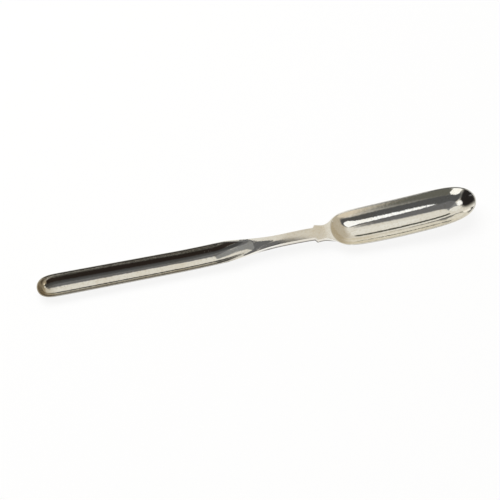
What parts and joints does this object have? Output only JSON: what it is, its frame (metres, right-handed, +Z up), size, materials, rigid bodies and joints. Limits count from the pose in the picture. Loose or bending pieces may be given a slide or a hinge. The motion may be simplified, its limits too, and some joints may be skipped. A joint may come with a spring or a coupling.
{
  "type": "marrow scoop",
  "caption": "Polished silver marrow scoop with a wide rounded bowl at one end, a short shouldered shank, and a long narrow channel that serves as handle and second scoop.",
  "frame": {"origin": "on the table plane, below the middle of the scoop's length and width", "axes": "+X along the scoop from the narrow end to the bowl's tip, +Y across it, +Z up, out of the hollows"},
  "size_m": [0.225, 0.022, 0.0135],
  "materials": {
    "polished_silver": "hand-polished sterling silver with fine scratches and faint warm toning",
    "silver_solder": "flush silver solder, slightly yellower than the metal it joins"
  },
  "bodies": {
    "root": {"marrow_bowl": "polished_silver", "shank": "polished_silver", "narrow_scoop": "polished_silver", "bowl_solder_seam": "silver_solder", "scoop_solder_seam": "silver_solder"}
  },
  "joints": []
}
